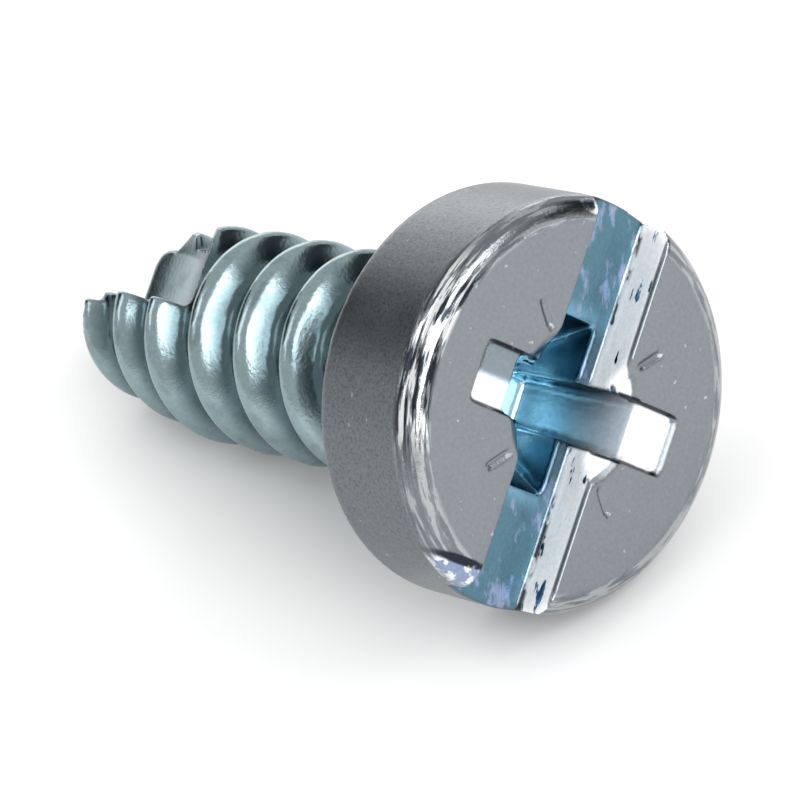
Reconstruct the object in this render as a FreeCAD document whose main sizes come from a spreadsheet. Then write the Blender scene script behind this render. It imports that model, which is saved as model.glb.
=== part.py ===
import FreeCAD, Part
import math
import os
import re
import Sketcher

# A zinc-plated pan-head screw, one solid piece of steel: a flat-topped head with a slot and a
# cross recess, a coarse right-hand thread that runs up to the head, and a blunt point with a
# notch milled out of it, so that the screw cuts its own thread.
#
# The body is drawn with the screw's axis on Z: the flat of the head at Z = 0, the point below it,
# the slot along Y and the second pair of the recess's wings along X. It is then laid down as a
# loose screw lies, on the rim of its head and one turn of its thread, with its axis over X.
# Lengths are in millimetres and angles in degrees.

SIZES = (
    ("head_diameter", 8.5, "outer diameter of the head"),
    ("head_height", 2.9, "flat of the head to the bearing face"),
    ("edge_radius", 0.48, "rounding of the edge round the flat of the head"),
    ("rim_radius", 0.15, "rounding of the rim at the bearing face"),
    ("neck_diameter", 5.0, "foot of the cone under the head"),
    ("neck_height", 0.7, "height of the cone under the head"),
    ("shank_length", 11.7, "bearing face to the end of the point"),
    ("thread_diameter", 4.8, "over the crests"),
    ("core_diameter", 3.6, "at the root of the thread"),
    ("thread_pitch", 1.6, "from one turn to the next"),
    ("crest_width", 0.36, "flat on top of the thread"),
    ("flank_angle", 30, "each flank from square to the axis"),
    ("thread_inset", 0.5, "the last turn ends this far inside the head"),
    ("thread_start", 185, "where the thread begins at the point's end, round the axis from X"),
    ("thread_bury", 0.35, "foot of the thread inside the core"),
    ("point_diameter", 3.6, "over the crests at the end of the point"),
    ("point_core_diameter", 3.0, "core at the end of the point"),
    ("point_length", 3.2, "taper of the point"),
    ("notch_ledge", 0.12, "ledge of the notch, beyond the axis"),
    ("notch_wall", 0.25, "deepest line of the notch, short of the axis"),
    ("notch_radius", 5.3, "radius of the disc that mills the notch"),
    ("slot_width", 2.0, "width of the slot"),
    ("slot_depth", 0.85, "depth of the slot"),
    ("recess_depth", 2.8, "depth of the cross recess"),
    ("wing_width", 1.25, "width of a wing at the flat of the head"),
    ("wing_floor_width", 1.05, "width of a wing at its floor"),
    ("wing_reach", 1.75, "axis to the end of a wing at the flat of the head"),
    ("slot_wing_reach", 2.2, "the same for the two wings in the slot"),
    ("wing_floor_reach", 0.95, "axis to the end of a wing at its floor"),
    ("ramp_reach", 2.75, "axis to the outer end of the ramp that leads into a wing"),
    ("ramp_depth", 0.2, "depth of the ramp where it meets the wing"),
    ("flare_diameter", 3.4, "mouth of the flare between the wings"),
    ("flare_floor_diameter", 2.6, "foot of the flare"),
    ("flare_depth", 0.35, "depth of the flare"),
    ("punch_tip_diameter", 1.4, "cone that the punch leaves below the wings"),
    ("punch_tip_depth", 0.3, "depth of that cone"),
    ("tick_start", 1.75, "axis to the near end of a tick mark"),
    ("tick_end", 2.5, "axis to the far end of a tick mark"),
    ("tick_width", 0.22, "width of a tick mark"),
    ("tick_depth", 0.12, "depth of a tick mark"),
    ("slot_lean", 50, "slot from upright as the screw lies, with the notch uppermost"),
    ("fineness", 0.01, "how finely the lying screw is measured, in millimetres and in degrees"),
)

# Lengths and places along the axis that follow from the sizes. The tools that cut the metal start
# a little outside it, by the clearance.
DERIVED = {
    "clearance": "thread_pitch",
    "head_radius": "head_diameter / 2",
    "thread_radius": "thread_diameter / 2",
    "core_radius": "core_diameter / 2",
    "point_radius": "point_diameter / 2",
    "bearing": "-head_height",
    "neck_end": "bearing - neck_height",
    "end": "bearing - shank_length",
    "point_start": "end + point_length",
    "past_end": "end - clearance",
    "last_turn": "bearing + thread_inset",
    "thread_foot": "core_radius - thread_bury",
    "half_crest": "crest_width / 2",
    "half_foot": "half_crest + (thread_radius - thread_foot) * tan(flank_angle * 1 deg)",
    "outside_thread": "thread_radius + clearance",
    "point_slope": "point_length / (thread_radius - point_radius)",
    "outside_head": "head_radius + clearance",
    "recess_floor": "-recess_depth",
}

WINGS = 4

doc = FreeCAD.newDocument("screw")
sheet = doc.addObject("Spreadsheet::Sheet", "sizes")
for row, (alias, value, meaning) in enumerate(SIZES, start=1):
    sheet.set("A%d" % row, alias)
    sheet.set("B%d" % row, str(value))
    sheet.set("C%d" % row, meaning)
    sheet.setAlias("B%d" % row, alias)
doc.recompute()
ALIASES = {alias for alias, value, meaning in SIZES}

blank = doc.addObject("PartDesign::Body", "blank")
body = doc.addObject("PartDesign::Body", "screw")
body.Label = "screw"


def spelled(expression):
    """Write an expression out in the cells of the sheet."""
    def cell(match):
        word = match.group()
        if word in DERIVED:
            return "(%s)" % spelled(DERIVED[word])
        return "sizes." + word if word in ALIASES else word
    return re.sub("[a-z_]+", cell, expression)


def number(expression):
    """Work an expression out."""
    return float(blank.evalExpression(spelled(expression)))


def new_sketch(role, name, height="0", turn="0", body=body):
    """Attach a sketch to one of a body's origin planes, raised and turned about the axis."""
    sketch = body.newObject("Sketcher::SketchObject", name)
    sketch.AttachmentSupport = [(item, "") for item in body.Origin.OriginFeatures if item.Role == role]
    sketch.MapMode = "FlatFace"
    axis = FreeCAD.Vector(0, 0, 1) if role == "XY_Plane" else FreeCAD.Vector(0, 1, 0)
    sketch.AttachmentOffset = FreeCAD.Placement(
        FreeCAD.Vector(0, 0, number(height)), FreeCAD.Rotation(axis, number(turn)))
    if height != "0":
        sketch.setExpression(".AttachmentOffset.Base.z", spelled(height))
    if turn != "0":
        sketch.setExpression(".AttachmentOffset.Rotation.Angle", spelled(turn))
    return sketch


def hold(sketch, line, across, up):
    """Hold the start of a line at a place that the sheet gives."""
    for kind, axis, place in (("DistanceX", -2, across), ("DistanceY", -1, up)):
        value = number(place)
        if value == 0:
            sketch.addConstraint(Sketcher.Constraint("PointOnObject", line, 1, axis))
            continue
        ends = (-1, 1, line, 1)
        if value < 0:
            ends = (line, 1, -1, 1)
            place = "-(%s)" % place
        index = sketch.addConstraint(Sketcher.Constraint(kind, *ends, abs(value)))
        sketch.setExpression("Constraints[%d]" % index, spelled(place))


def rounding(start, end, heading):
    """Return the arc that leaves start along heading and turns left to end."""
    left = FreeCAD.Vector(-heading.y, heading.x, 0)
    chord = end - start
    radius = chord.dot(chord) / (2 * chord.dot(left))
    centre = start + left * radius
    first = math.atan2(start.y - centre.y, start.x - centre.x)
    last = math.atan2(end.y - centre.y, end.x - centre.x)
    return Part.ArcOfCircle(Part.Circle(centre, FreeCAD.Vector(0, 0, 1), radius), first, last)


def draw(sketch, corners, rounded=()):
    """Draw a closed outline, counter-clockwise, with an arc after each corner in rounded."""
    places = [FreeCAD.Vector(number(across), number(up), 0) for across, up in corners]
    heading = None
    for index, start in enumerate(places):
        end = places[(index + 1) % len(places)]
        if index in rounded:
            sketch.addGeometry(rounding(start, end, heading))
        else:
            sketch.addGeometry(Part.LineSegment(start, end))
            heading = (end - start).normalize()
    for index, (across, up) in enumerate(corners):
        previous = (index - 1) % len(corners)
        kind = "Tangent" if index in rounded else "Coincident"
        sketch.addConstraint(Sketcher.Constraint(kind, previous, 2, index, 1))
        hold(sketch, index, across, up)


def rectangle(left, bottom, right, top):
    """Return the corners of a rectangle, counter-clockwise."""
    return ((left, bottom), (right, bottom), (right, top), (left, top))


def turned(kind, name, corners, rounded=(), body=body):
    """Turn a half section about the screw's axis, to add metal or to cut it away."""
    sketch = new_sketch("XZ_Plane", name + "_section", body=body)
    draw(sketch, corners, rounded)
    feature = body.newObject(kind, name)
    feature.Profile = sketch
    feature.ReferenceAxis = (sketch, ["V_Axis"])
    feature.Angle = 360
    feature.Refine = False
    return feature


def pocket(name, sketch, depth):
    """Cut the shape of a sketch into the screw."""
    feature = body.newObject("PartDesign::Pocket", name)
    feature.Profile = sketch
    feature.setExpression("Length", spelled(depth))
    feature.Refine = False
    return feature


def make_blank():
    """Turn the head, the neck and the core, with stock left beyond the point."""
    turned("PartDesign::Revolution", "blank", (
        ("0", "past_end"),
        ("point_core_diameter / 2", "past_end"),
        ("point_core_diameter / 2", "end"),
        ("core_radius", "point_start"),
        ("core_radius", "neck_end"),
        ("neck_diameter / 2", "bearing"),
        ("head_radius - rim_radius", "bearing"),
        ("head_radius", "bearing + rim_radius"),
        ("head_radius", "-edge_radius"),
        ("head_radius - edge_radius", "0"),
        ("0", "0"),
    ), rounded=(6, 8), body=blank)


def roll_thread():
    """Wind one ridge up the core, from the end of the point into the head."""
    helix = doc.addObject("Part::Helix", "helix")
    helix.SegmentLength = 1
    helix.setExpression("Pitch", spelled("thread_pitch"))
    helix.setExpression("Height", spelled("last_turn - end"))
    helix.setExpression("Radius", spelled("thread_radius"))
    helix.setExpression(".Placement.Base.z", spelled("end"))
    helix.setExpression(".Placement.Rotation.Angle", spelled("thread_start"))
    section = new_sketch("XZ_Plane", "thread_section", turn="thread_start", body=blank)
    draw(section, (
        ("thread_foot", "end - half_foot"),
        ("thread_radius", "end - half_crest"),
        ("thread_radius", "end + half_crest"),
        ("thread_foot", "end + half_foot"),
    ))
    ridge = doc.addObject("Part::Sweep", "ridge")
    ridge.Sections = [section]
    ridge.Spine = (helix, [])
    ridge.Solid = True
    ridge.Frenet = True
    threaded = doc.addObject("Part::Fuse", "threaded")
    threaded.Base = blank
    threaded.Tool = ridge
    threaded.Refine = False
    body.BaseFeature = threaded


def cut_point():
    """Turn the thread down to the taper of the point and face off its end."""
    turned("PartDesign::Groove", "point", (
        ("0", "past_end - clearance"),
        ("outside_thread", "past_end - clearance"),
        ("outside_thread", "point_start + clearance * point_slope"),
        ("point_radius", "end"),
        ("0", "end"),
    ))


def cut_notch():
    """Mill a quarter out of the point with a disc that runs out towards the head."""
    sketch = new_sketch("XZ_Plane", "notch_section", "-notch_ledge")
    place = FreeCAD.Vector(number("-notch_wall - notch_radius"), number("end"), 0)
    sketch.addGeometry(Part.Circle(place, FreeCAD.Vector(0, 0, 1), number("notch_radius")))
    for kind, points, value in (
        ("Radius", (0,), "notch_radius"),
        ("DistanceX", (0, 3, -1, 1), "notch_wall + notch_radius"),
        ("DistanceY", (0, 3, -1, 1), "-end"),
    ):
        index = sketch.addConstraint(Sketcher.Constraint(kind, *points, number(value)))
        sketch.setExpression("Constraints[%d]" % index, spelled(value))
    pocket("notch", sketch, "outside_thread")


def cut_slot():
    """Saw the slot right across the head."""
    sketch = new_sketch("XY_Plane", "slot_section")
    draw(sketch, rectangle("-slot_width / 2", "-outside_head", "slot_width / 2", "outside_head"))
    pocket("slot", sketch, "slot_depth")


def wing_outline(across_slot, along_slot, width):
    """Return the corners of a cross of four wings, counter-clockwise."""
    side = "%s / 2" % width
    return (
        (across_slot, "-" + side), (across_slot, side), (side, side),
        (side, along_slot), ("-" + side, along_slot), ("-" + side, side),
        ("-" + across_slot, side), ("-" + across_slot, "-" + side), ("-" + side, "-" + side),
        ("-" + side, "-" + along_slot), (side, "-" + along_slot), (side, "-" + side))


def punch_recess():
    """Press in the cross recess, the ramps that lead into it and the flare between its wings."""
    mouth = new_sketch("XY_Plane", "recess_mouth")
    draw(mouth, wing_outline("wing_reach", "slot_wing_reach", "wing_width"))
    floor = new_sketch("XY_Plane", "recess_floor", "recess_floor")
    draw(floor, wing_outline("wing_floor_reach", "wing_floor_reach", "wing_floor_width"))
    recess = body.newObject("PartDesign::SubtractiveLoft", "recess")
    recess.Profile = mouth
    recess.Sections = [floor]
    recess.Ruled = True

    turned("PartDesign::Groove", "punch_tip", (
        ("0", "recess_floor - punch_tip_depth"),
        ("punch_tip_diameter / 2", "recess_floor"),
        ("punch_tip_diameter / 2", "recess_floor + punch_tip_depth"),
        ("0", "recess_floor + punch_tip_depth"),
    ))
    turned("PartDesign::Groove", "flare", (
        ("0", "-flare_depth"),
        ("flare_floor_diameter / 2", "-flare_depth"),
        ("flare_diameter / 2", "0"),
        ("0", "0"),
    ))
    sketch = new_sketch("XZ_Plane", "ramp_section")
    draw(sketch, (
        ("-wing_reach", "-ramp_depth"), ("wing_reach", "-ramp_depth"), ("ramp_reach", "0"), ("-ramp_reach", "0")))
    pocket("ramp", sketch, "wing_width").Midplane = True


def strike_ticks():
    """Strike a short mark between each two wings."""
    sketch = new_sketch("XY_Plane", "tick_section", turn="180 / %d" % WINGS)
    draw(sketch, rectangle("tick_start", "-tick_width / 2", "tick_end", "tick_width / 2"))
    tick = pocket("tick", sketch, "tick_depth")
    ticks = body.newObject("PartDesign::PolarPattern", "ticks")
    ticks.Originals = [tick]
    ticks.Axis = (sketch, ["N_Axis"])
    ticks.Angle = 360
    ticks.Occurrences = WINGS
    body.Tip = ticks


def lying_tilt():
    """Return the tilt of the axis at which the head's rim and the thread stand on one floor."""
    underside = math.radians(number("slot_lean") - 90)
    bearing = number("bearing")
    places = body.Shape.tessellate(number("fineness"))[0]
    head = [place for place in places if place.z > bearing]
    shank = [place for place in places if place.z < bearing]
    level, steep = 0, math.pi / 4
    while steep - level > math.radians(number("fineness")):
        tilt = (level + steep) / 2
        down = FreeCAD.Vector(
            math.cos(underside) * math.cos(tilt), math.sin(underside) * math.cos(tilt), -math.sin(tilt))
        if max(down.dot(place) for place in shank) < max(down.dot(place) for place in head):
            level = tilt
        else:
            steep = tilt
    return math.degrees(tilt)


def lay_down():
    """Lay the screw down with its axis over X, resting at Z = 0 and centred over the origin."""
    tilt = lying_tilt()
    turn = (
        FreeCAD.Rotation(FreeCAD.Vector(0, 1, 0), -tilt)
        * FreeCAD.Rotation(FreeCAD.Vector(1, 1, 1), 120)
        * FreeCAD.Rotation(FreeCAD.Vector(0, 0, 1), -number("slot_lean")))
    body.Placement = FreeCAD.Placement(FreeCAD.Vector(), turn)
    box = body.Shape.optimalBoundingBox(False, False)
    body.Placement.Base = FreeCAD.Vector(-box.Center.x, -box.Center.y, -box.ZMin)
    return tilt


def check():
    """Stop unless every object is sound and the screw is one closed solid."""
    for item in doc.Objects:
        if "Invalid" in item.State or "Error" in item.State:
            raise RuntimeError("%s is %s" % (item.Label, item.State))
    if body.Shape.isNull() or not body.Shape.isValid() or len(body.Shape.Solids) != 1:
        raise RuntimeError("the screw isn't one sound solid")


make_blank()
roll_thread()
cut_point()
cut_notch()
cut_slot()
punch_recess()
strike_ticks()
doc.recompute()
tilt = lay_down()
check()

os.makedirs("parts", exist_ok=True)
body.Shape.exportStep("parts/screw.step")
print("screw: %.1f mm3, lying at %.2f degrees" % (body.Shape.Volume, tilt))
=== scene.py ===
import math

import bpy
from bpy.props import FloatProperty, FloatVectorProperty, PointerProperty
from mathutils import Matrix, Vector


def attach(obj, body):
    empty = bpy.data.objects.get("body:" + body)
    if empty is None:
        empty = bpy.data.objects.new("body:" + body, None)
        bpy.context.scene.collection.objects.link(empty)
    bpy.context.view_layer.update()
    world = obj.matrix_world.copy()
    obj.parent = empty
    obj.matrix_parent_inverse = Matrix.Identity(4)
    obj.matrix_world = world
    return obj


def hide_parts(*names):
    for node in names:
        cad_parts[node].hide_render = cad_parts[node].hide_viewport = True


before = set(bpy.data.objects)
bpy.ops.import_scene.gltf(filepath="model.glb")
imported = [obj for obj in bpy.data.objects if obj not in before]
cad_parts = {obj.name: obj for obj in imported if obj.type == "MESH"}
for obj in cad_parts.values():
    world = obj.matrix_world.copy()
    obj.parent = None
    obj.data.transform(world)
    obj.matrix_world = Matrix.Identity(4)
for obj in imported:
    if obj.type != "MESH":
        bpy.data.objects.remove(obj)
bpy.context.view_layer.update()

bl_info = {
    "name": "Pan-Head Screw",
    "version": (1, 0, 0),
    "blender": (4, 5, 0),
    "location": "View3D > Sidebar > Screw",
    "description": "Models a zinc-plated pan-head screw with a slot, a cross recess and a notched point",
    "category": "Add Mesh",
}

MM = 0.001
CUTTER_SPARE = 0.5  # how far a cutter stands clear of the face that it cuts, in mm
RIDGE_SPARE = 0.5  # how far the ridge runs on into the head, in mm
STEPS_A_TURN = 72  # of the thread
NEAR = 0.01  # what counts as the same height, in mm

# The screw is modelled in millimetres with its axis on Z: the flat of the head at Z = 0, the point
# below it and the slot along Y. The last step makes it metres and lays it down.


# ---------------------------------------------------------------- modelling helpers


def activate(item):
    """Select one object and nothing else."""
    bpy.ops.object.select_all(action="DESELECT")
    item.select_set(True)
    bpy.context.view_layer.objects.active = item


def begin(add, name, **settings):
    """Add a primitive and name it."""
    bpy.ops.object.select_all(action="DESELECT")
    add(**settings)
    item = bpy.context.object
    item.name = item.data.name = name
    return item


def pick(item, kind, test):
    """Select in edit mode the vertices, edges or faces that pass a test.

    The test gets a vertex's place, an edge's two ends, or a face's centre and normal.
    """
    bpy.ops.object.mode_set(mode="EDIT")
    bpy.ops.mesh.select_mode(type=kind)
    bpy.ops.mesh.select_all(action="DESELECT")
    bpy.ops.object.mode_set(mode="OBJECT")
    mesh = item.data
    places = [vertex.co for vertex in mesh.vertices]
    if kind == "VERT":
        for vertex in mesh.vertices:
            vertex.select = test(vertex.co)
    elif kind == "EDGE":
        for edge in mesh.edges:
            edge.select = test(*[places[index] for index in edge.vertices])
    else:
        for face in mesh.polygons:
            face.select = test(face.center, face.normal)
    bpy.ops.object.mode_set(mode="EDIT")


def leave():
    """Go back to object mode."""
    bpy.ops.object.mode_set(mode="OBJECT")


def round_ring(item, height, radius, segments):
    """Round the edges that lie at a height."""
    pick(item, "EDGE", lambda a, b: max(abs(a.z - height), abs(b.z - height)) < NEAR)
    bpy.ops.mesh.bevel(offset=radius, segments=segments, affect="EDGES", profile=0.5)
    leave()


def apply_modifier(item, kind, **settings):
    """Add a modifier, set it and apply it."""
    activate(item)
    modifier = item.modifiers.new(kind.title(), kind)
    for name, value in settings.items():
        setattr(modifier, name, value)
    bpy.ops.object.modifier_apply(modifier=modifier.name)


def settle(item):
    """Put an object's place, turn and scale into its mesh."""
    activate(item)
    bpy.ops.object.transform_apply(location=True, rotation=True, scale=True)


def cut(item, cutters):
    """Take the cutters away from an object, one after another."""
    for cutter in cutters:
        settle(cutter)
        apply_modifier(item, "BOOLEAN", operation="DIFFERENCE", solver="EXACT", object=cutter)
        bpy.data.objects.remove(cutter)


def block(name, low, high):
    """Add a box between two corners."""
    low, high = Vector(low), Vector(high)
    item = begin(bpy.ops.mesh.primitive_cube_add, name, size=1, location=(low + high) / 2)
    item.scale = high - low
    settle(item)
    return item


def tapered_block(name, reach, half_width, floor_reach, floor_half_width, depth):
    """Add a box from above the head's flat down to a smaller floor, its walls straight."""
    spare = CUTTER_SPARE
    steep = (reach - floor_reach) / depth
    lean = (half_width - floor_half_width) / depth
    top = (reach + steep * spare, half_width + lean * spare)
    item = block(name, (-top[0], -top[1], -depth), (top[0], top[1], spare))
    pick(item, "FACE", lambda centre, normal: normal.z < -0.9)
    bpy.ops.transform.resize(value=(floor_reach / top[0], floor_half_width / top[1], 1))
    leave()
    return item


# ---------------------------------------------------------------- the shapes of the screw


def settings_of(group):
    """Return the names of a group's settings."""
    return [name for name in group.bl_rna.properties.keys() if name not in ("rna_type", "name")]


def length(name, description, default):
    """Return a size of the screw that the panel shows, in millimetres."""
    return FloatProperty(name=name, description=description + ", in mm", default=default, min=0)


class ScrewSizes(bpy.types.PropertyGroup):
    """Sizes of the head, the shank and the thread, as in the CAD source."""

    head_radius: length("Head radius", "Axis to the side of the head", 4.25)
    head_height: length("Head height", "Flat of the head to the bearing face", 2.9)
    edge_radius: length("Edge radius", "Rounding round the flat of the head", 0.48)
    rim_radius: length("Rim radius", "Rounding at the bearing face", 0.15)
    neck_radius: length("Neck radius", "Foot of the cone under the head", 2.5)
    neck_height: length("Neck height", "Height of the cone under the head", 0.7)
    shank: length("Shank", "Bearing face to the end of the point", 11.7)
    core_radius: length("Core radius", "Axis to the root of the thread", 1.8)
    point_core: length("Point core", "Core radius at the end of the point", 1.5)
    crest_radius: length("Crest radius", "Axis to the crest of the thread", 2.4)
    point_crest: length("Point crest", "Crest radius at the end of the point", 1.8)
    neck_crest: length("Neck crest", "Crest radius where the thread meets the head", 2.25)
    point_length: length("Point length", "Taper of the point", 3.2)
    point_round: length("Point rounding", "Rounding at the end of the point", 0.4)
    pitch: length("Pitch", "One turn of the thread to the next", 1.6)
    half_crest: length("Half crest", "Half the width of the ridge at its crest", 0.15)
    half_foot: length("Half foot", "Half the width of the ridge at its foot", 0.62)
    ridge_bury: length("Ridge bury", "Foot of the ridge below the core's surface", 0.15)
    crest_round: length("Crest rounding", "Rounding of the ridge's crest", 0.14)
    thread_start: FloatProperty(
        name="Thread start", description="Where the thread begins, round the axis",
        default=math.radians(185), subtype="ANGLE")
    notch_ledge: length("Notch ledge", "Ledge of the notch beyond the axis", 0.12)
    notch_wall: length("Notch wall", "Deepest line of the notch short of the axis", 0.25)
    notch_radius: length("Notch radius", "Radius of the disc that mills the notch", 5.3)
    voxel: length("Voxel", "How finely the finished surface is divided", 0.074)


class DriveSizes(bpy.types.PropertyGroup):
    """Sizes of the slot and the cross recess in the head."""

    slot_width: length("Slot width", "Width of the slot at the flat", 2.0)
    slot_depth: length("Slot depth", "Depth of the slot", 0.85)
    slot_draft: length("Slot draft", "How far each wall of the slot leans in at its foot", 0.05)
    recess_depth: length("Recess depth", "Depth of the cross recess", 2.8)
    wing_half: length("Wing half width", "Half the width of a wing at the flat", 0.625)
    wing_floor_half: length("Wing floor half width", "Half the width of a wing at its floor", 0.525)
    across_reach: length("Reach across", "Axis to the end of the wings across the slot", 1.75)
    along_reach: length("Reach along", "Axis to the end of the wings in the slot", 2.2)
    wing_floor_reach: length("Floor reach", "Axis to the end of a wing's floor", 0.95)
    ramp_reach: length("Ramp reach", "Axis to the end of the ramps across the slot", 2.75)
    ramp_floor_reach: length("Ramp floor reach", "Axis to the end of a ramp's floor", 2.58)
    ramp_floor_half: length("Ramp floor half width", "Half the width of a ramp's floor", 0.6)
    ramp_depth: length("Ramp depth", "Depth of the ramps", 0.2)
    flare_radius: length("Flare radius", "Radius of the flare at the flat", 1.7)
    flare_floor_radius: length("Flare floor radius", "Radius of the flare at its foot", 1.3)
    flare_depth: length("Flare depth", "Depth of the flare", 0.35)
    tip_radius: length("Tip radius", "Radius of the cone below the recess's floor", 0.9)
    tip_height: length("Tip height", "Height of the cone below the recess's floor", 0.5)
    tip_below: length("Tip below", "How far the cone's tip lies below the recess's floor", 0.1)
    tick_start: length("Tick start", "Axis to the inner end of the tick marks", 1.75)
    tick_end: length("Tick end", "Axis to the outer end of the tick marks", 2.5)
    tick_half: length("Tick half width", "Half the side of the square bar that presses a tick", 0.07)


def thread_crest(sizes, height):
    """Return the radii of the thread's foot and crest at a height on the axis."""
    end = -sizes.head_height - sizes.shank
    point = min(1, max(0, (height - end) / sizes.point_length))
    neck = min(1, max(0, (-sizes.head_height - height) / sizes.pitch))
    crest = sizes.point_crest + (sizes.crest_radius - sizes.point_crest) * point
    crest -= (sizes.crest_radius - sizes.neck_crest) * (1 - neck)
    foot = sizes.point_core + (sizes.core_radius - sizes.point_core) * point
    return foot - sizes.ridge_bury, crest


def make_blank(sizes):
    """Turn the head, the cone under it and the core of the shank."""
    bearing = -sizes.head_height
    end = bearing - sizes.shank
    blank = begin(
        bpy.ops.mesh.primitive_cylinder_add, "blank", vertices=160, radius=sizes.head_radius,
        depth=sizes.head_height, location=(0, 0, bearing / 2))
    settle(blank)
    round_ring(blank, 0, sizes.edge_radius, 8)
    round_ring(blank, bearing, sizes.rim_radius, 3)
    pick(blank, "FACE", lambda centre, normal: centre.z < bearing + NEAR and normal.z < -0.99)
    bpy.ops.mesh.inset(thickness=sizes.head_radius - sizes.rim_radius - sizes.neck_radius)
    radius = sizes.neck_radius
    for step, target in (
        (-sizes.neck_height, sizes.core_radius),
        (sizes.neck_height - sizes.shank + sizes.point_length, sizes.core_radius),
        (-sizes.point_length, sizes.point_core),
    ):
        bpy.ops.mesh.extrude_region_move(TRANSFORM_OT_translate={"value": (0, 0, step)})
        bpy.ops.transform.resize(value=(target / radius, target / radius, 1))
        radius = target
    leave()
    round_ring(blank, end, sizes.point_round, 4)
    return blank


def make_ridge(sizes):
    """Wind the ridge of the thread round the core, tapered at the point and at the head."""
    end = -sizes.head_height - sizes.shank
    height = sizes.shank + RIDGE_SPARE
    turns = height / sizes.pitch
    steps = int(turns * STEPS_A_TURN)
    foot = sizes.core_radius - sizes.ridge_bury
    ridge = begin(bpy.ops.mesh.primitive_plane_add, "ridge", size=2)
    leave()
    for vertex in ridge.data.vertices:
        outer = vertex.co.x > 0
        side = 1 if vertex.co.y > 0 else -1
        vertex.co = Vector((
            sizes.crest_radius if outer else foot, 0,
            end + side * (sizes.half_crest if outer else sizes.half_foot)))
    pick(ridge, "VERT", lambda place: place.x > sizes.core_radius)
    bpy.ops.mesh.bevel(offset=sizes.crest_round, segments=3, affect="VERTICES")
    leave()
    pick(ridge, "FACE", lambda centre, normal: True)
    bpy.ops.mesh.delete(type="ONLY_FACE")
    leave()
    ridge.rotation_euler.z = sizes.thread_start
    settle(ridge)
    apply_modifier(
        ridge, "SCREW", axis="Z", angle=turns * math.tau, screw_offset=height, steps=steps,
        render_steps=steps, iterations=1, use_merge_vertices=False, use_smooth_shade=True)
    activate(ridge)
    bpy.ops.object.mode_set(mode="EDIT")
    bpy.ops.mesh.select_mode(type="EDGE")
    bpy.ops.mesh.select_all(action="DESELECT")
    bpy.ops.mesh.select_non_manifold()
    bpy.ops.mesh.edge_face_add()
    bpy.ops.mesh.select_all(action="SELECT")
    bpy.ops.mesh.normals_make_consistent(inside=False)
    leave()
    for vertex in ridge.data.vertices:
        radius = vertex.co.xy.length
        share = (radius - foot) / (sizes.crest_radius - foot)
        local_foot, local_crest = thread_crest(sizes, vertex.co.z)
        vertex.co.xy *= (local_foot + share * (local_crest - local_foot)) / radius
    return ridge


def end_cutter(sizes):
    """Add the block that faces off the thread at the end of the point."""
    end = -sizes.head_height - sizes.shank
    reach = sizes.head_radius
    return block("end_cutter", (-reach, -reach, end - reach), (reach, reach, end))


def notch_cutter(sizes):
    """Add the disc that mills a quarter out of the point."""
    thickness = sizes.head_radius
    return begin(
        bpy.ops.mesh.primitive_cylinder_add, "notch", vertices=128, radius=sizes.notch_radius,
        depth=thickness, rotation=(math.pi / 2, 0, 0),
        location=(
            -sizes.notch_wall - sizes.notch_radius, sizes.notch_ledge + thickness / 2,
            -sizes.head_height - sizes.shank))


def drive_cutters(sizes, drive):
    """Add the blocks and cones that sink the slot, the recess, its ramps and flare and the ticks."""
    reach = sizes.head_radius + CUTTER_SPARE
    half = drive.slot_width / 2
    slot = tapered_block("slot", half, reach, half - drive.slot_draft, reach, drive.slot_depth)
    across, along = [
        tapered_block(
            name, wing_reach, drive.wing_half, drive.wing_floor_reach, drive.wing_floor_half,
            drive.recess_depth)
        for name, wing_reach in (("across", drive.across_reach), ("along", drive.along_reach))]
    along.rotation_euler.z = math.pi / 2
    ramp = tapered_block(
        "ramp", drive.ramp_reach, drive.wing_half, drive.ramp_floor_reach, drive.ramp_floor_half,
        drive.ramp_depth)
    height = drive.flare_depth + CUTTER_SPARE
    slope = (drive.flare_radius - drive.flare_floor_radius) / drive.flare_depth
    flare = begin(
        bpy.ops.mesh.primitive_cone_add, "flare", vertices=64, radius1=drive.flare_floor_radius,
        radius2=drive.flare_floor_radius + slope * height, depth=height,
        location=(0, 0, height / 2 - drive.flare_depth))
    tip = begin(
        bpy.ops.mesh.primitive_cone_add, "tip", vertices=48, radius1=0, radius2=drive.tip_radius,
        depth=drive.tip_height,
        location=(0, 0, drive.tip_height / 2 - drive.tip_below - drive.recess_depth))
    ticks = []
    for index in range(4):
        low = (drive.tick_start, -drive.tick_half, -drive.tick_half)
        tick = block("tick", low, (drive.tick_end, drive.tick_half, drive.tick_half))
        pick(tick, "FACE", lambda centre, normal: True)
        bpy.ops.transform.rotate(value=math.radians(45), orient_axis="X", center_override=(0, 0, 0))
        leave()
        tick.rotation_euler.z = math.radians(45 + 90 * index)
        ticks.append(tick)
    return [slot, across, along, ramp, flare, tip, *ticks]


class ScrewPose(bpy.types.PropertyGroup):
    """How the screw lies."""

    slot_lean: FloatProperty(
        name="Slot lean", description="Slot from upright", default=math.radians(50), subtype="ANGLE")
    tilt: FloatProperty(
        name="Tilt", description="Axis from level, the point lower", default=math.radians(11.7062),
        subtype="ANGLE")
    face: FloatVectorProperty(
        name="Face", description="Centre of the head's flat", size=3, subtype="TRANSLATION",
        unit="LENGTH", default=(0.00688985, 0, 0.00472315))


def lying_place(pose):
    """Return the matrix that takes the modelled screw to the lying one, in metres."""
    turn = (
        Matrix.Rotation(-pose.tilt, 4, "Y")
        @ Matrix(((0, 0, 1, 0), (1, 0, 0, 0), (0, 1, 0, 0), (0, 0, 0, 1)))
        @ Matrix.Rotation(-pose.slot_lean, 4, "Z"))
    return Matrix.Translation(Vector(pose.face)) @ turn @ Matrix.Scale(MM, 4)


# ---------------------------------------------------------------- shader maths


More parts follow.
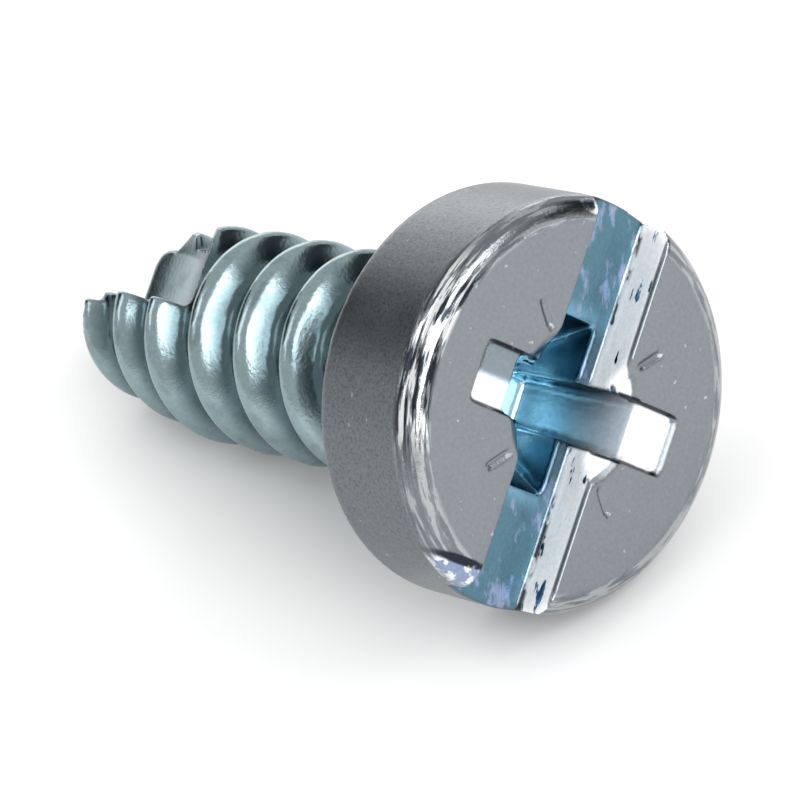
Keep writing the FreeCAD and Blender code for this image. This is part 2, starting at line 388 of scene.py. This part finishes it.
class Link:
    """A socket that Python's operators turn into Math nodes."""

    def __init__(self, tree, socket):
        self.tree, self.socket = tree, socket

    def node(self, kind, inputs, output=0, **settings):
        """Add a node, set it, give its inputs their values or links and return one of its outputs."""
        node = self.tree.nodes.new(kind)
        for name, value in settings.items():
            setattr(node, name, value)
        for key, value in inputs.items():
            if isinstance(value, Link):
                self.tree.links.new(value.socket, node.inputs[key])
            else:
                node.inputs[key].default_value = value
        return Link(self.tree, node.outputs[output])

    def math(self, operation, *values):
        """Return what a Math node makes of its values."""
        return self.node("ShaderNodeMath", dict(enumerate(values)), operation=operation)

    def __add__(self, other):
        return self.math("ADD", self, other)

    def __radd__(self, other):
        return self.math("ADD", other, self)

    def __sub__(self, other):
        return self.math("SUBTRACT", self, other)

    def __rsub__(self, other):
        return self.math("SUBTRACT", other, self)

    def __mul__(self, other):
        return self.math("MULTIPLY", self, other)

    def __rmul__(self, other):
        return self.math("MULTIPLY", other, self)

    def __truediv__(self, other):
        return self.math("DIVIDE", self, other)

    def __pow__(self, other):
        return self.math("POWER", self, other)

    def __neg__(self):
        return self.math("MULTIPLY", self, -1.0)

    def __abs__(self):
        return self.math("ABSOLUTE", self)

    def clamped(self):
        """Keep a number between 0 and 1."""
        return self.node("ShaderNodeClamp", {"Value": self})

    def step(self, start, end):
        """Rise smoothly from 0 at start to 1 at end."""
        return self.node(
            "ShaderNodeMapRange", {"Value": self, "From Min": start, "From Max": end},
            interpolation_type="SMOOTHSTEP")

    def split(self):
        """Return the three numbers of a vector."""
        node = self.node("ShaderNodeSeparateXYZ", {0: self}).socket.node
        return [Link(self.tree, socket) for socket in node.outputs]

    def joined(self, second, third):
        """Return the vector of this number and two more."""
        return self.node("ShaderNodeCombineXYZ", {0: self, 1: second, 2: third})

    def noise(self, scale, detail, roughness):
        """Return the noise at a place."""
        return self.node(
            "ShaderNodeTexNoise",
            {"Vector": self, "Scale": scale, "Detail": detail, "Roughness": roughness}, output="Fac")

    def mix(self, first, second):
        """Mix two colours, all of the second where this number is 1."""
        return self.node("ShaderNodeMix", {0: self, 6: first, 7: second}, output=2, data_type="RGBA")


# ---------------------------------------------------------------- the plating


def tint(name, description, default):
    """Return a colour that the panel shows."""
    return FloatVectorProperty(
        name=name, description=description, subtype="COLOR", size=4, min=0, max=1, default=(*default, 1))


class Finish(bpy.types.PropertyGroup):
    """Colours of the plating, with the painted highlights and painted shade laid over it."""

    plate: tint("Zinc plate", "Plating on the open faces of the head", (0.24, 0.262, 0.28))
    thread: tint("Thread", "Plating on the thread", (0.3, 0.39, 0.41))
    # The thread-root colour is a painted shade in the grooves of the thread; it also darkens random
    # patches.
    root: tint("Thread root", "Darker plating in the roots of the thread", (0.06, 0.1, 0.115))
    slot: tint("Slot", "Blue plating on the floor of the slot", (0.1, 0.2, 0.26))
    recess: tint("Recess", "Blue plating down in the recess", (0.42, 0.63, 0.73))
    # The slot-middle colour is a painted shade where the slot meets the recess.
    shade: tint("Slot middle", "Blue plating where the slot meets the recess", (0.22, 0.46, 0.62))
    lilac: tint("Lilac", "Iridescent streaks of the passivated plating", (0.27, 0.34, 0.5))
    # This colour is burnished metal on specks and burrs, and painted highlights on the head's edge, one
    # slot wall, one wing end and one ramp.
    bright: tint("Burnished and painted highlights", "Metal burnished bright by the punch and by wear", (0.94, 0.95, 0.96))
    # This colour is pits, scuffs and torn edges, and painted shade and painted reflections in the slot,
    # along the wings and round the head's edge.
    dark: tint("Scuffs, painted shade and painted reflections", "Dark scuffs and torn edges", (0.03, 0.035, 0.045))


class Places:
    """Masks that say what part of the screw a point of its surface is on.

    They read the place in the screw's own frame, in mm: x across the slot, y along it, and the depth
    below the flat. A step's two numbers are where a mask starts and where it is full.
    """

    def __init__(self, place, sizes, drive):
        self.place = place
        self.x, self.y, self.z = x, y, z = place.split()
        self.depth = depth = -z
        self.radius = radius = (x * x + y * y) ** 0.5
        head, edge = sizes.head_radius, sizes.edge_radius
        bearing = sizes.head_height
        wing, half = drive.wing_half, drive.slot_width / 2
        floor = drive.slot_depth

        sunk = depth.step(0.07, 0.13) * (1 - depth.step(bearing - 0.08, bearing - 0.02))
        in_slot = (1 - abs(x).step(half + 0.02, half + 0.08)) * (1 - radius.step(head - 0.04, head))
        in_wings = (1 - abs(y).step(wing + 0.055, wing + 0.125)) * (1 - abs(x).step(2.9, 3.0))
        flared = 1 - radius.step(drive.flare_radius + 0.05, drive.flare_radius + 0.15)
        self.drive = sunk * (in_slot + in_wings + flared).clamped()
        self.shank = depth.step(bearing + 0.02, bearing + 0.1)
        self.side = (1 - self.shank) * radius.step(head - 0.06, head - 0.02) * depth.step(0.3, 0.5)
        rounded = radius.step(head - edge - 0.06, head - edge + 0.08)
        self.rim = (1 - self.drive) * rounded * (1 - depth.step(edge - 0.1, edge + 0.12))

        above_floor = 1 - depth.step(floor - 0.06, floor + 0.02)
        self.wall = self.drive * x.step(half - 0.16, half - 0.03) * above_floor * abs(y).step(0.6, 0.7)
        corner = self.drive * x.step(0.7, 1.0) * abs(y).step(0.72, 0.8)
        self.flare_corner = corner * flared * (1 - depth.step(0.5, 0.6))
        foot = x.step(half - 0.16, half - 0.08) * depth.step(floor - 0.16, floor - 0.06)
        self.wall_foot = self.drive * foot * abs(y).step(1.6, 1.8)
        self.middle = 1 - abs(y).step(1.5, 2.3)
        self.middle_floor = self.middle * (1 - depth.step(0.9, 1.1))
        self.wing_end = self.drive * x.step(1.15, 1.8) * (1 - abs(y).step(wing + 0.035, wing + 0.095))
        brink = (1 - abs(abs(y) - wing - 0.015).step(0.03, 0.08)) * abs(x).step(1.0, 1.1)
        brink = brink * (1 - abs(x).step(drive.ramp_reach - 0.05, drive.ramp_reach + 0.05))
        self.brink = brink * (1 - depth.step(0.3, 0.5)) * depth.step(0.0, 0.03)
        ramp = self.drive * (1 - x.step(-drive.across_reach, 0.15 - drive.across_reach))
        ramp = ramp * (1 - abs(y).step(wing + 0.075, wing + 0.175))
        self.upper_ramp = ramp * y.step(-0.1, 0.1)
        self.lower_ramp = ramp * (1 - y.step(-0.1, 0.1))

        along_point = ((z + bearing + sizes.shank) / sizes.point_length).clamped()
        # Painted shade: the roots of the thread, along the point too, are masked to be painted darker.
        grooves = 1 - (radius + 0.5 * (1 - along_point)).step(1.9, 2.3)
        self.root = grooves * radius.step(sizes.point_core - 0.05, sizes.point_core + 0.05)

    def near(self, place, spread):
        """Return a mask that is 1 at a place on the top of the head and fades out round it."""
        away = ((self.x - place[0]) / spread[0]) ** 2 + ((self.y - place[1]) / spread[1]) ** 2
        return (1 - away.step(0.5, 1.4)) * (1 - self.depth.step(0.6, 0.7))


class Patterns:
    """Noise of the plating, fine and coarse, even and drawn out. Scales are per mm."""

    def __init__(self, places):
        x, y, z, radius = places.x, places.y, places.z, places.radius
        self.grain = places.place.noise(11.0, 4.0, 0.65)
        self.pits = places.place.noise(16.0, 3.0, 0.6).step(0.45, 0.7)
        self.tone = places.place.noise(1.3, 3.0, 0.5)
        self.speck = places.place.noise(5.0, 2.0, 0.5).step(0.7, 0.76)
        around = (7.0 * (radius + places.depth)).joined(4.0 * x / radius, 4.0 * y / radius)
        self.streak = around.noise(1.0, 3.0, 0.55)
        slanted = (3.0 * x + 1.2 * y).joined(1.1 * y - 0.6 * x, 2.0 * z)
        self.smear = slanted.noise(1.0, 4.0, 0.6)
        self.torn = x.joined(y, 3.0 * z).noise(1.3, 3.0, 0.55)


# Burrs and torn edges at the ends of the slot: x and y of each and how far it spreads, in mm.
BURRS = (((-1.5, -3.85), (0.6, 0.32)), ((-0.62, 3.76), (0.3, 0.12)), ((-1.2, 3.85), (0.25, 0.12)))
TORN_EDGES = (((-1.55, -3.62), (0.65, 0.1)), ((-0.3, 3.85), (0.5, 0.08)))


def head_colour(places, patterns, shades):
    """Colour the open faces of the head, with bright and dark streaks round its rounded edge: a little
    wear all round, and painted highlights and painted reflections strongest on the -x side.
    """
    # Painted highlight and painted reflection: the edge's bright and dark streaks are mostly on the -x
    # side and faint all round as wear.
    wear_and_painted_highlight = places.rim * (0.25 + 0.75 * (-places.x / places.radius).step(0.84, 0.94))
    colour = shades["plate"]
    for mask, name in (
        (patterns.speck * 0.35 * (1 - places.drive), "bright"),
        (places.side * patterns.pits * 0.4, "dark"),
        (wear_and_painted_highlight * patterns.streak.step(0.51, 0.55), "bright"),
        (wear_and_painted_highlight * (1 - patterns.streak.step(0.43, 0.48)), "dark"),
    ):
        colour = mask.mix(colour, shades[name])
    return colour


def drive_colour(places, patterns, shades):
    """Colour the slot and the recess, with painted highlights on one wall, one wing end and one ramp, and
    painted shade in the middle and at the foot of the wall. Return the colour and where the metal is rough
    and scatters.
    """
    torn = patterns.torn
    # Painted highlight on the +x wall of the slot and the flare's +x corners, broken up like torn,
    # scratched metal.
    scrapes_and_painted_highlight = (places.wall * torn.step(0.36, 0.42) + places.flare_corner * torn.step(0.42, 0.46)).clamped()
    colour = shades["slot"]
    for mask, name in (
        (places.depth.step(0.9, 2.2), "recess"),
        # Painted shade: the middle of the slot floor, where it meets the recess, gets a blue of its own,
        # and a strip of it by the +x wall is painted dark.
        (places.middle_floor, "shade"),
        (0.8 * places.middle_floor * places.x.step(0.52, 0.62), "dark"),
        (patterns.smear.step(0.54, 0.66) * (1 - 0.7 * places.middle), "lilac"),
        # Painted highlight on the +x wall and corners.
        (scrapes_and_painted_highlight, "bright"),
        # Painted shade in the crease at the foot of the +x wall, broken up by the torn noise.
        (places.wall_foot * (1 - torn.step(0.5, 0.56)), "dark"),
        # Painted highlights: the +x end of the wing across the slot and the lower ramp are painted bright;
        # the upper ramp keeps the colour of the flat.
        (places.wing_end, "bright"),
        (places.lower_ramp, "bright"),
        (0.9 * places.upper_ramp, "plate"),
    ):
        colour = mask.mix(colour, shades[name])
    scattering = (scrapes_and_painted_highlight + 0.6 * places.wing_end + 0.8 * places.lower_ramp).clamped()
    return colour, scattering * places.drive


def burred(places, patterns, shades, colour):
    """Put the burrs and torn edges of the slot and the recess over a colour, with a painted shade along
    the edges of the wings.
    """
    torn = patterns.torn
    # Painted shade: a dark line along the edges of the wings across the slot, broken up like torn metal.
    colour = (places.brink * torn.step(0.4, 0.46)).mix(colour, shades["dark"])
    burr = patterns.smear.step(0.5, 0.56).mix(shades["bright"], shades["lilac"])
    for place, spread in BURRS:
        colour = places.near(place, spread).mix(colour, burr)
    for place, spread in TORN_EDGES:
        colour = (places.near(place, spread) * torn.step(0.42, 0.5)).mix(colour, shades["dark"])
    return colour


def thread_colour(places, patterns, shades):
    """Colour the thread, with painted shade in its roots and darker patches at random."""
    colour = (places.root * 0.9).mix(shades["thread"], shades["root"])
    return (patterns.tone.step(0.5, 0.7) * 0.35).mix(colour, shades["root"])


def zinc_plate(scene):
    """Return the material of the plated steel: bright where it is burnished and where highlights are
    painted, blue where it is sunk, with painted shade on the head's side, in the slot and in the thread's
    roots.
    """
    material = bpy.data.materials.new("zinc_plate")
    material.use_nodes = True
    tree = material.node_tree
    tree.nodes.clear()
    start = Link(tree, None)
    pose, finish = scene.screw_pose, scene.screw_finish
    place = start.node(
        "ShaderNodeMapping", {
            "Vector": start.node("ShaderNodeTexCoord", {}, output="Object"),
            "Location": tuple(pose.face), "Rotation": tuple(lying_place(pose).to_euler()),
            "Scale": (MM, MM, MM)},
        vector_type="TEXTURE")
    places = Places(place, scene.screw_sizes, scene.screw_drive)
    patterns = Patterns(places)
    shades = {name: tuple(getattr(finish, name)) for name in settings_of(finish)}

    drive, scattering = drive_colour(places, patterns, shades)
    colour = places.drive.mix(head_colour(places, patterns, shades), drive)
    colour = burred(places, patterns, shades, colour)
    colour = places.shank.mix(colour, thread_colour(places, patterns, shades))
    grain, tone = patterns.grain, patterns.tone
    # Painted shade: the side of the head is painted 26 % darker; grain and tone vary at random.
    level = (0.72 + 0.44 * grain + 0.12 * tone) * (1 - 0.26 * places.side)
    colour = start.node("ShaderNodeVectorMath", {0: colour, "Scale": level}, operation="SCALE")

    roughness = 0.3 - 0.16 * places.rim - 0.14 * places.drive - 0.15 * places.shank
    roughness = roughness + 0.1 * (tone - 0.5) + 0.2 * scattering
    height = 0.35 * grain + 1.4 * places.wall * patterns.torn + 0.5 * places.drive * patterns.smear
    height = height + 0.5 * places.rim * patterns.streak + 0.5 * places.shank * tone
    bump = start.node("ShaderNodeBump", {"Strength": 0.25, "Distance": 0.06 * MM, "Height": height})
    shader = start.node("ShaderNodeBsdfPrincipled", {
        "Base Color": colour, "Metallic": 1 - 0.9 * scattering, "Roughness": roughness, "Normal": bump})
    output = tree.nodes.new("ShaderNodeOutputMaterial")
    tree.links.new(shader.socket, output.inputs["Surface"])
    return material


# ---------------------------------------------------------------- the stage

# The camera, fitted to the photograph: metres, degrees and mm of lens.
CAMERA_PLACE = (0.0604431, -0.0425109, 0.055341)
CAMERA_TURN = (53.2408, 12.0591, 45.485)
CAMERA_LENS = 192.24

FLOOR_WHITE = (0.98, 0.98, 0.98, 1)
WORLD_WHITE = (0.8, 0.8, 0.8, 1)
FLAG_BLACK = (0.05, 0.055, 0.06, 1)
CARD_GREY = (0.85, 0.86, 0.87, 1)

# Lamps and flags stand this far from the screw, in metres. Their directions are along the camera's
# axes: right, up and back. Then come their width and height and, for lamps, how bright they look.
STAND_OFF = 0.3
SOFTBOXES = (
    ("front_softbox", (0.3, 0.1, 0.95), (0.16, 0.2), 4),
    ("top_softbox", (0.5, 0.5, 0.7), (0.1, 0.1), 4),
    ("left_softbox", (-0.8, 0.42, 0.45), (0.12, 0.2), 1.5),
    ("back_softbox", (-0.25, 0.69, -0.68), (0.22, 0.13), 1.2),
)
FLAGS = (
    ("left_flag", (-0.84, 0.45, -0.26), (0.16, 0.13)),
    ("right_flag", (0.7518, 0.6591, -0.0225), (0.3, 0.12)),
)
FLOOR_CARD_SIDE = (-0.455, -0.521, -0.723)
FLOOR_CARD_AWAY = 0.048
FLOOR_CARD_LIFT = 0.0003
FLOOR_CARD_SIZE = (0.1, 0.2)


def plain_material(name, colour):
    """Return a matt material for the stage."""
    material = bpy.data.materials.new(name)
    material.use_nodes = True
    shader = material.node_tree.nodes["Principled BSDF"]
    shader.inputs["Base Color"].default_value = colour
    shader.inputs["Roughness"].default_value = 1.0
    shader.inputs["Specular IOR Level"].default_value = 0.0
    return material


def card(name, place, rotation, size, colour):
    """Add a matt card that only reflections show."""
    item = begin(bpy.ops.mesh.primitive_plane_add, name, size=1, location=place, rotation=rotation)
    item.scale = (*size, 1)
    settle(item)
    item.data.materials.append(plain_material(name, colour))
    item.visible_camera = item.visible_diffuse = item.visible_shadow = False


def flag(name, direction, size):
    """Stand up a dark card that faces the screw."""
    place = direction.normalized() * STAND_OFF
    card(name, place, place.to_track_quat("Z", "Y").to_euler(), size, FLAG_BLACK)


def floor_card(direction):
    """Lay a card on the floor on one side of the screw."""
    side = Vector((direction.x, direction.y, 0)).normalized()
    card(
        "floor_card", side * FLOOR_CARD_AWAY + Vector((0, 0, FLOOR_CARD_LIFT)),
        (0, 0, math.atan2(side.y, side.x)), FLOOR_CARD_SIZE, CARD_GREY)


def softbox(name, direction, size, level):
    """Add a rectangular lamp that faces the screw and is as bright as the level says."""
    place = direction.normalized() * STAND_OFF
    bpy.ops.object.light_add(type="AREA", location=place)
    lamp = bpy.context.object
    lamp.name = name
    lamp.rotation_euler = place.to_track_quat("Z", "Y").to_euler()
    lamp.data.shape = "RECTANGLE"
    lamp.data.size, lamp.data.size_y = size
    lamp.data.energy = math.pi * size[0] * size[1] * level
    lamp.visible_camera = False


# ---------------------------------------------------------------- operators


class SCREW_OT_model(bpy.types.Operator):
    """Model the whole screw as one piece and lay it where the CAD model lies"""

    bl_idname = "screw.model"
    bl_label = "Screw"

    def execute(self, context):
        sizes = context.scene.screw_sizes
        piece = make_blank(sizes)
        ridge = make_ridge(sizes)
        cut(piece, [*drive_cutters(sizes, context.scene.screw_drive), notch_cutter(sizes)])
        cut(ridge, [end_cutter(sizes), notch_cutter(sizes)])
        activate(piece)
        ridge.select_set(True)
        bpy.ops.object.join()
        apply_modifier(piece, "REMESH", mode="VOXEL", voxel_size=sizes.voxel, use_smooth_shade=True)
        apply_modifier(piece, "SMOOTH", factor=0.5, iterations=2)
        piece.name = piece.data.name = "plated_screw"
        piece.matrix_world = lying_place(context.scene.screw_pose)
        settle(piece)
        piece.data.materials.clear()
        piece.data.materials.append(zinc_plate(context.scene))
        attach(piece, "root")
        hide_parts("screw")
        return {"FINISHED"}


class SCREW_OT_stage(bpy.types.Operator):
    """Set up the camera, the floor, the lamps and the world"""

    bl_idname = "screw.stage"
    bl_label = "Stage"

    def execute(self, context):
        bpy.ops.object.camera_add(location=CAMERA_PLACE)
        camera = context.object
        camera.name = "camera"
        camera.rotation_euler = [math.radians(angle) for angle in CAMERA_TURN]
        camera.data.lens = CAMERA_LENS
        camera.data.clip_start, camera.data.clip_end = 0.001, 10
        context.scene.camera = camera
        context.scene.view_settings.view_transform = "Standard"

        floor = begin(bpy.ops.mesh.primitive_plane_add, "floor", size=2)
        floor.data.materials.append(plain_material("floor", FLOOR_WHITE))
        world = bpy.data.worlds.new("world")
        world.use_nodes = True
        world.node_tree.nodes["Background"].inputs["Color"].default_value = WORLD_WHITE
        context.scene.world = world

        view = camera.rotation_euler.to_matrix()
        for name, direction, size, level in SOFTBOXES:
            softbox(name, view @ Vector(direction), size, level)
        for name, direction, size in FLAGS:
            flag(name, view @ Vector(direction), size)
        floor_card(view @ Vector(FLOOR_CARD_SIDE))
        return {"FINISHED"}


class SCREW_PT_panel(bpy.types.Panel):
    """Buttons that build the screw and its stage"""

    bl_idname = "SCREW_PT_panel"
    bl_label = "Screw"
    bl_space_type = "VIEW_3D"
    bl_region_type = "UI"
    bl_category = "Screw"

    def draw(self, context):
        for name in GROUPS:
            group = getattr(context.scene, name)
            for setting in settings_of(group):
                self.layout.prop(group, setting)
        for operator in OPERATORS:
            self.layout.operator(operator.bl_idname)


OPERATORS = (SCREW_OT_model, SCREW_OT_stage)
GROUPS = {
    "screw_sizes": ScrewSizes, "screw_drive": DriveSizes, "screw_finish": Finish, "screw_pose": ScrewPose}


def register():
    for item in (*GROUPS.values(), *OPERATORS, SCREW_PT_panel):
        bpy.utils.register_class(item)
    for name, group in GROUPS.items():
        setattr(bpy.types.Scene, name, PointerProperty(type=group))


def unregister():
    for name in GROUPS:
        delattr(bpy.types.Scene, name)
    for item in (SCREW_PT_panel, *OPERATORS, *GROUPS.values()):
        bpy.utils.unregister_class(item)


def main():
    register()
    bpy.ops.screw.model()
    bpy.ops.screw.stage()


if __name__ == "__main__":
    main()
